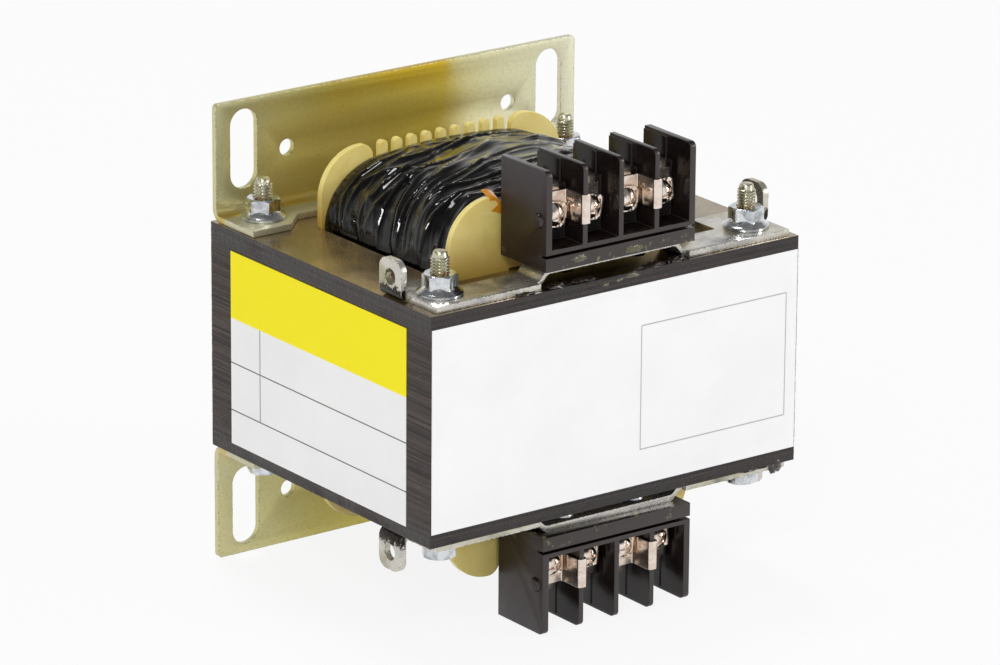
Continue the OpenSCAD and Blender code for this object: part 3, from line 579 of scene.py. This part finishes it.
def build_coil():
    """Tape over the coil; its folds follow the turns at a slant."""
    low, high = box_mm("coil_wrap")
    hx, hz = high.x - 0.35, high.z - 0.7
    core_top = box_mm("e_laminations")[1].z
    n_along, n_round = 220, 420
    outline = arched(hx, hz, TAPE_RADIUS, n_round)
    rows = []
    for i in range(n_along + 1):
        v = i / n_along
        y = high.y + (low.y - high.y) * v
        swell = 0.5 * math.sin(math.pi * v) ** 0.8
        ends = min(1, 7 * v + 0.15, 7 * (1 - v) + 0.15)
        row = []
        for x, z, nx, nz, s in outline:
            # u runs across the long folds, w across the shorter ones that cross them.
            drift = 6 * noise.noise(Vector((y / 30, s / 30, 3)))
            u = y + 0.22 * s + drift
            w = y - 0.35 * s
            long_folds = (0.8 * ridge(u / 5.5, s / 42, 1, 12) + 0.7 * ridge(u / 10, s / 34, 5, 6)
                          + 0.12 * ridge(u / 3.2, s / 30, 31, 9))
            cross = (0.45 * ridge(w / 13, u / 30, 9, 10)
                     + 0.3 * ridge((0.7 * u + s) / 20, w / 22, 21, 12))
            dent = 0.9 * noise.noise(Vector((s / 19, u / 9, 12)))
            fold = (long_folds + cross - 0.5) * ends + dent * ends
            out = max(LOWEST_FOLD, abs(nz) * swell + fold)
            # The upright sides have less room, and least of all inside the core's windows.
            room = clamp((abs(z) - core_top) / 4, 0.12, 1.0)
            lift = out if abs(nz) > 0.5 else clamp(out, LOWEST_FOLD, 1.0) * room
            row.append((x + nx * lift, y, z + nz * lift))
        rows.append(row)
    for y in (low.y, high.y):
        rows.append([(x - TAPE_THICK * nx, y, z - TAPE_THICK * nz) for x, z, nx, nz, _ in outline])
    bm = bmesh.new()
    add_grid(bm, rows, tube=True)
    piece("coil_tape", bm, "tape", "black_tape", "coil_wrap", sharp=60)


def build_windings():
    """The layers under the tape, bowed like it."""
    wrap_x = box_mm("coil_wrap")[1].x
    layers = (("secondary_winding", "winding", "magnet_wire", "interwinding_insulation"),
              ("interwinding_insulation", "film", "insulation_film", "primary_winding"),
              ("primary_winding", "winding", "magnet_wire", None))
    for node, look, slot, inner in layers:
        low, high = box_mm(node)
        thick = high.x - box_mm(inner)[1].x if inner else INNER_WINDING
        r = TAPE_RADIUS - (wrap_x - high.x)
        outline = arched(high.x - 0.3, high.z - 0.75, max(r, 3), 160)
        rows = [[(x - step * nx, y, z - step * nz) for x, z, nx, nz, _ in outline]
                for y, step in ((low.y, 0), (high.y, 0), (high.y, thick), (low.y, thick))]
        bm = bmesh.new()
        add_grid(bm, rows, tube=True)
        piece(node + "_bowed", bm, look, slot, node, sharp=40)


# ---------------------------------------------------------------- fasteners

def hex_radius(a):
    """Distance from the middle of a hexagon to its side at an angle."""
    return FLATS / 2 / math.cos((a + math.pi / 6) % (math.pi / 3) - math.pi / 6)


def flange_hex_rows(h, turn, bore=0.0):
    """Rows of (radius, angle, height) of a hexagon on a round flange."""
    angles = circle(ROUND)
    flange_r = FLANGE_D / 2
    top = FLATS / 2 * 0.97
    rows = []

    def ring(z, radius):
        rows.append([(radius(a) if callable(radius) else radius, a, z) for a in angles])

    # the round flange, then its cone, out of which the hexagon grows
    ring(0.0, flange_r - 0.15)
    ring(0.12, flange_r)
    ring(0.7, flange_r)
    ring(0.9, flange_r - 0.22)
    for z in (1.05, 1.25, 1.5, 1.75, 2.0, 2.3):
        slope = (flange_r - 0.4) - (z - 0.95) * 1.25
        ring(z, lambda a, slope=slope: max(slope, hex_radius(a + turn)))
    # the hexagon's corners, cut off by a cone at the top
    for k in range(8):
        z = h - 0.42 + 0.06 * k
        cone = top + (h - z) / math.tan(math.radians(32))
        ring(z, lambda a, cone=cone: min(cone, hex_radius(a + turn)))
    if bore:
        ring(h, bore + 0.45)
        ring(h - 0.4, bore)
    else:
        ring(h, top * 0.8)
        ring(h - 0.12, top * 0.72)
    return rows


def thread_rows(seat, top):
    """Rows of a bolt from inside its nut up to its chamfered end, with a real helix."""
    r_out = SHANK / 2
    angles = circle(THREAD_ROUND)
    rows = [[(r_out, a, -seat - 0.5) for a in angles]]
    z = seat
    while z < top - 1.5:
        row = []
        for j, a in enumerate(angles):
            phase = (z / PITCH - j / THREAD_ROUND) % 1
            tooth = 1 - abs(2 * phase - 1)
            r = r_out - 0.5 + 0.52 * min(1, 1.2 * tooth)
            row.append((min(r, r_out - 0.75 + (top - 0.9 - z)), a, z))
        rows.append(row)
        z += PITCH / 8
    # the plain dog point, with its chamfer
    for r, below in ((2.0, 1.35), (1.95, 1.1), (1.72, 0.25), (1.55, 0.06), (1.3, 0)):
        rows.append([(r, a, top - below) for a in angles])
    return rows


def place_rows(bm, rows, x, y, z, up, tube):
    """Skins rows of (radius, angle, height) that stand on z, upright or hanging (up -1)."""
    add_grid(bm, [[(x + r * math.cos(a), y + r * math.sin(a) * up, z + h * up) for r, a, h in row]
                  for row in rows], tube)


def build_fasteners():
    """Four flange nuts, threaded bolts that end at slightly different heights, their heads."""
    low, high = box_mm("flange_nuts")
    bolt_low, bolt_high = box_mm("clamp_bolts")
    seat = low.z
    bolt_x = high.x - FLANGE_D / 2
    bolt_ys = (high.y - FLANGE_D / 2, low.y + FLANGE_D / 2)
    head_h = -bolt_low.z - seat
    shorter = {(1, 0): 0.3, (-1, 0): 0.8, (1, 1): 0.0, (-1, 1): 0.2}
    nuts, bolts, heads = bmesh.new(), bmesh.new(), bmesh.new()
    for sx in (-1, 1):
        for k, y in enumerate(bolt_ys):
            turn = rng.uniform(0, math.pi / 3)
            x = sx * bolt_x
            nut = flange_hex_rows(high.z - low.z, turn, SHANK / 2 - 0.3)
            place_rows(nuts, nut, x, y, seat, 1, True)
            place_rows(heads, flange_hex_rows(head_h, turn + 0.4), x, y, -seat, -1, False)
            place_rows(bolts, thread_rows(seat, bolt_high.z - shorter[sx, k]), x, y, 0, 1, False)
    piece("nuts_detailed", nuts, "nut", "zinc_nut", "flange_nuts", sharp=28)
    piece("bolts_detailed", bolts, "bolt", "zinc_bolt", "clamp_bolts", sharp=40)
    piece("bolt_heads", heads, "nut", "zinc_bolt", sharp=28)


# ---------------------------------------------------------------- terminal screws

WASHER_H = 0.8          # height of a clamp washer without its lips
WASHER_HALF = 3.4       # half its width across flats
WASHER_HOLE = 1.8       # radius of its hole
HEAD_R = 2.92           # radius of a screw's head


def screw_places(node):
    """Centres of four screws in a row and the y of their front, from the CAD node."""
    low, high = box_mm(node)
    r = (high.z - low.z) / 2
    pitch = (high.x - low.x - 2 * r) / 3
    return [(low.x + r + k * pitch, (low.z + high.z) / 2) for k in range(4)], low.y


def face_rows(bm, rows, x, y, z, tube):
    """Skins rows of (radius, angle, height) that stand on y and grow towards the front."""
    add_grid(bm, [[(x + r * math.cos(a), y - h, z + r * math.sin(a)) for r, a, h in row]
                  for row in rows], tube)


def washer_rows(turn):
    """A square washer with ridges round its hole and two raised lips."""
    angles = circle(ROUND)
    rim = [WASHER_HALF / (abs(math.cos(a)) ** 5 + abs(math.sin(a)) ** 5) ** 0.2 for a in angles]
    lip = [0.55 * clamp((abs(math.cos(a)) - 0.66) * 9, 0.0, 1.0) for a in angles]
    rows = [[(WASHER_HOLE, a + turn, 0.0) for a in angles]]
    for inset, h, raised in ((0.1, 0.0, 0), (0.0, 0.12, 0), (0.0, 0.68, 1), (0.12, WASHER_H, 1),
                             (0.5, WASHER_H, 1)):
        rows.append([(r - inset, a + turn, h + t * raised) for r, a, t in zip(rim, angles, lip)])
    for part in (0.8, 0.6, 0.3):
        rows.append([(WASHER_HOLE + (r - 2.4) * part, a + turn,
                      WASHER_H + 0.1 * math.sin(18 * a) * part) for r, a in zip(rim, angles)])
    rows.append([(WASHER_HOLE, a + turn, WASHER_H) for a in angles])
    return rows


def screw_rows(turn, height):
    """A domed head with a cross slot, on the washer, and a stub of its shank."""
    angles = circle(ROUND)
    rows = [[(r, a, h) for a in angles]
            for r, h in ((1.5, -2.0), (1.5, WASHER_H), (2.8, WASHER_H), (HEAD_R, WASHER_H + 0.15))]
    for k in range(1, 22):
        r = HEAD_R * math.cos(k / 22 * math.pi / 2) ** 0.7
        dome = WASHER_H + 0.35 + (height - 0.35) * (1 - (r / HEAD_R) ** 2.6)
        row = []
        for a in angles:
            off_slot = min(abs(r * math.cos(a)), abs(r * math.sin(a)))
            slot = clamp((0.42 - off_slot) * 8, 0.0, 1.0) * clamp((1.9 - r) * 4, 0.0, 1.0)
            row.append((r, a + turn, dome - 0.75 * slot))
        rows.append(row)
    rows.append([(0.03, a, WASHER_H + height - 0.75) for a in angles])
    return rows


def build_screws(side):
    """The four screws of a block on their washers."""
    places, front = screw_places(side + "_terminal_screws")
    seat = box_mm(side + "_clamp_washers")[1].y
    heads, washers = bmesh.new(), bmesh.new()
    for x, z in places:
        face_rows(washers, washer_rows(rng.uniform(-0.2, 0.2)), x, seat, z, True)
        head = screw_rows(rng.uniform(0, math.pi / 2), seat - front - WASHER_H)
        face_rows(heads, head, x, seat, z, False)
    piece(side + "_screws_domed", heads, "screw", "zinc_nut", side + "_terminal_screws", sharp=35)
    piece(side + "_washers_ridged", washers, "washer", "nickel_strip", side + "_clamp_washers",
          sharp=35)


# ---------------------------------------------------------------- small dressing

def blob(bm, centre, size, seed):
    """A rounded lump of varnish with an uneven outline, its half sizes in size."""
    rows = []
    for k in range(1, 14):
        e = math.pi * k / 14
        row = []
        for a in circle(28):
            d = Vector((math.sin(e) * math.cos(a), math.sin(e) * math.sin(a), math.cos(e)))
            g = 1 + 0.45 * noise.noise(d * 2.2 + Vector((seed, 0, 0)))
            row.append(tuple(centre[i] + size[i] * d[i] * g for i in range(3)))
        rows.append(row)
    add_grid(bm, rows)


def build_varnish():
    """Runs at the core's foot, drops under the bridge, thin marks on the block and the label."""
    core_low, core_high = box_mm("e_laminations")
    block_front = box_mm("upper_terminal_block")[0].y
    front, base = core_low.y, core_low.z
    bm = bmesh.new()
    blob(bm, (51.6, front + 1.2, base - 0.4), (2.0, 1.5, 2.3), 1)
    blob(bm, (44.5, front + 1.6, base - 0.1), (4.5, 1.6, 0.8), 4)
    for x, w, h in ((-18.5, 2.6, 0.9), (-9.5, 3.4, 0.7), (11.5, 4.2, 0.8), (19, 2.2, 1.0),
                    (-28, 3.0, 0.5)):
        blob(bm, (x, front + 1.3, core_high.z + 0.2), (w, 1.3, h), x)
    piece("dark_varnish_runs", bm, "dark_varnish", "core_steel", sharp=60)

    bm = bmesh.new()
    for x, z, w, h in ((-12.8, 36.9, 2.4, 0.9), (4.2, 36.4, 2.7, 1.0)):
        blob(bm, (x, block_front + 0.1, z), (w, 0.3, h), x)
    for x, z, w, h in ((4.5, 29.2, 2.6, 0.8), (-4.0, 28.2, 1.6, 0.6), (0.5, 28.7, 1.8, 0.5)):
        blob(bm, (x, front + 0.25, z), (w, 0.35, h), x)
    piece("glue_marks", bm, "varnish", "core_steel", sharp=60)


def build_boss_rims():
    """The rounded rim of each boss on the ends of the blocks."""
    profile = ((1.0, -0.2), (1.0, 0.55), (1.2, 0.9), (1.55, 0.9), (1.8, 0.55), (1.9, 0.0),
               (1.9, -0.2))
    bm = bmesh.new()
    for side in SIDES:
        low, high = box_mm(side + "_terminal_block")
        y, z = low.y + BOSS_FROM_FRONT, (low.z + high.z) / 2
        for sx in (-1, 1):
            add_grid(bm, [[(sx * (BLOCK_END + h), y + r * math.cos(a), z + r * math.sin(a))
                           for a in circle(32)] for r, h in profile], tube=True)
    piece("boss_rims", bm, "block", "block_phenolic", sharp=40)


def build_amber_tape():
    """A torn bit of film tape, stuck on the front lobe and folded over its rim."""
    low, high = box_mm("polyimide_tape")
    cx, cz, face = low.x, (low.z + high.z) / 2, high.y
    reach = box_mm("bobbin")[1].z - cz
    film = 0.07
    rows = []
    for i in range(15):
        a = math.radians(98 - 8.5 * i)
        ragged = noise.noise(Vector((i / 2.6, 3, 1)))
        down = 0.7 + 0.5 * ragged + (2.6 + 0.4 * ragged if i > 8 else 0)
        wave = 0.12 * noise.noise(Vector((i / 1.7, 8, 2)))
        path = [(reach + 1.3 + abs(wave), face + 3.4 + 0.5 * ragged),
                (reach + 0.6 + abs(wave), face + 1.6),
                (reach + 0.1, face - 0.05), (reach - 0.25, face - 0.16 - abs(wave)),
                (reach - down * 0.5, face - 0.14 + wave), (reach - down, face - 0.2 - abs(wave))]
        back = [(r - film, y) if y > face else (r, y + film) for r, y in path[::-1]]
        rows.append([(cx + r * math.cos(a), y, cz + r * math.sin(a)) for r, y in path + back])
    bm = bmesh.new()
    add_grid(bm, rows)
    piece("amber_tape_bit", bm, "amber", "amber_tape", "polyimide_tape", sharp=60)


# ---------------------------------------------------------------- build all

build_core()
build_coil()
build_windings()
build_fasteners()
for side in SIDES:
    build_screws(side)
build_varnish()
build_boss_rims()
build_amber_tape()
softened("bobbin", "bobbin", "bobbin_nylon", 0.45, 3)
for side in SIDES:
    softened(side + "_mounting_bracket", "bracket", "chromate_sheet", 0.18)
    softened(side + "_terminal_plate", "plate", "zinc_sheet", 0.16)
    softened(side + "_terminal_block", "block", "block_phenolic", 0.2)
    softened(side + "_terminal_tabs", "nickel", "nickel_strip", 0.1)
    softened(side + "_jumper_links", "nickel", "nickel_strip", 0.1)
    softened(side + "_block_screws", "nut", "zinc_nut", 0.1)

CAD_LOOK = {
    "e_laminations": "core", "i_laminations": "core", "bobbin": "bobbin",
    "primary_winding": "winding", "secondary_winding": "winding",
    "interwinding_insulation": "film", "coil_wrap": "tape",
    "clamp_bolts": "bolt", "flange_nuts": "nut",
    "front_label": "front_label", "side_label": "side_label", "polyimide_tape": "amber",
}
SIDE_LOOK = {
    "mounting_bracket": "bracket", "terminal_plate": "plate", "terminal_block": "block",
    "terminal_tabs": "nickel", "terminal_screws": "screw", "clamp_washers": "washer",
    "jumper_links": "nickel", "block_screws": "nut", "coil_leads": "wire",
}
CAD_LOOK.update({f"{side}_{node}": look for node, look in SIDE_LOOK.items() for side in SIDES})
for node, look in CAD_LOOK.items():
    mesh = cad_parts[node].data
    mesh.materials.clear()
    mesh.materials.append(MATS[look])


# ---------------------------------------------------------------- stage, in metres

WHITE = (1, 1, 1, 1)


def build_floor():
    """A floor that is seen as white but keeps the part's shadow."""
    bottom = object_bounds()[0][2]
    reach, n = 9.0, 12
    ticks = [reach * (2 * i / n - 1) for i in range(n + 1)]
    bm = bmesh.new()
    grid = [[bm.verts.new((x, y, bottom)) for x in ticks] for y in ticks]
    for near, far in zip(grid, grid[1:]):
        for i in range(n):
            bm.faces.new((near[i], near[i + 1], far[i + 1], far[i]))
    mesh = bpy.data.meshes.new("floor")
    bm.to_mesh(mesh)
    bm.free()

    mat = bpy.data.materials.new("floor_white")
    tree = empty_tree(mat)
    path = add_node(tree, "LightPath")
    seen = path.outputs["Is Camera Ray"]
    for ray in ("Is Glossy Ray", "Is Transmission Ray"):
        either = add_node(tree, "Math", {0: seen, 1: path.outputs[ray]}, operation="MAXIMUM")
        seen = either.outputs[0]
    share = add_node(tree, "Math", {0: seen, 1: 0.88}, operation="MULTIPLY")
    diffuse = add_node(tree, "BsdfDiffuse", {0: (0.86, 0.86, 0.86, 1)})
    glow = add_node(tree, "Emission", {0: WHITE})
    mixer = add_node(tree, "MixShader", {0: share.outputs[0], 1: diffuse.outputs[0],
                                         2: glow.outputs[0]})
    add_node(tree, "OutputMaterial", {0: mixer.outputs[0]})
    mesh.materials.append(mat)
    floor = bpy.data.objects.new("floor", mesh)
    bpy.context.scene.collection.objects.link(floor)


def build_world(ceiling):
    """A white horizon all round under a darker ceiling, the same for every ray."""
    world = bpy.data.worlds.new("studio")
    bpy.context.scene.world = world
    tree = empty_tree(world)
    coord = add_node(tree, "TexCoord")
    axes = add_node(tree, "SeparateXYZ", {0: coord.outputs["Generated"]})
    fade = add_node(tree, "MapRange", {"Value": axes.outputs[2], "From Min": 0.3, "From Max": 0.62,
                                       "To Min": 1.0, "To Max": ceiling})
    sky = add_node(tree, "Background", {0: WHITE, 1: fade.outputs[0]})
    add_node(tree, "OutputWorld", {0: sky.outputs[0]})


def lamp(name, place, size, power):
    """A rectangular lamp, its power in watts, that looks at the middle of the part."""
    data = bpy.data.lights.new(name, "AREA")
    data.shape = "RECTANGLE"
    data.size, data.size_y = size
    data.energy = power
    obj = bpy.data.objects.new(name, data)
    bpy.context.scene.collection.objects.link(obj)
    obj.location = place
    aim = Vector((0, -0.05, 0)) - Vector(place)
    obj.rotation_euler = aim.to_track_quat("-Z", "Y").to_euler()


def build_camera():
    """The photograph's own view."""
    yaw, pitch, roll = (math.radians(v) for v in (36.529, 18.444, 0.411))
    forward = Vector((math.sin(yaw) * math.cos(pitch), math.cos(yaw) * math.cos(pitch),
                      -math.sin(pitch)))
    right = Vector((math.cos(yaw), -math.sin(yaw), 0))
    up = right.cross(forward)
    across = math.cos(roll) * right + math.sin(roll) * up
    above = math.cos(roll) * up - math.sin(roll) * right
    data = bpy.data.cameras.new("camera")
    data.sensor_width = 36
    data.lens = 234.25
    data.clip_start = 0.05
    obj = bpy.data.objects.new("camera", data)
    bpy.context.scene.collection.objects.link(obj)
    turn = Matrix((across, above, -forward)).transposed().to_4x4()
    obj.matrix_world = Matrix.Translation(Vector((-0.93393, -1.30701, 0.52503))) @ turn
    bpy.context.scene.camera = obj


build_floor()
build_world(0.22)
lamp("key", (-1.0, -1.0, 1.1), (0.3, 0.3), 9)
lamp("fill", (1.2, -1.3, 0.5), (0.4, 0.6), 6.5)
lamp("top", (0.1, 0.5, 1.5), (0.5, 0.3), 9)
build_camera()
bpy.context.scene.view_settings.view_transform = "Standard"
